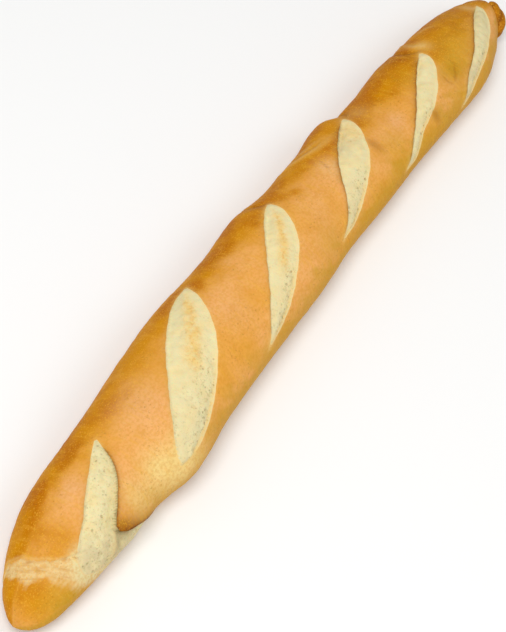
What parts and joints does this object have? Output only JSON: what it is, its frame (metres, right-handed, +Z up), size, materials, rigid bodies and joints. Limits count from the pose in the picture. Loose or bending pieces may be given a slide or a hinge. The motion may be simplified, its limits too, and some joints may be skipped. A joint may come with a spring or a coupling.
{
  "type": "baguette",
  "caption": "Long crusty baguette with slanting slashes open to pale crumb, a lifted flap of crust and a twisted tail; rests on its flat underside.",
  "frame": {"origin": "on the surface the loaf stands on, under the middle of its box", "axes": "+X along the loaf from its heel to the twisted tail, +Z up"},
  "size_m": [0.5576, 0.0748, 0.0517],
  "materials": {
    "crust": "dry golden-brown baked crust with pale crumb in the slashes"
  },
  "bodies": {
    "root": {"baguette": "crust"}
  },
  "joints": []
}
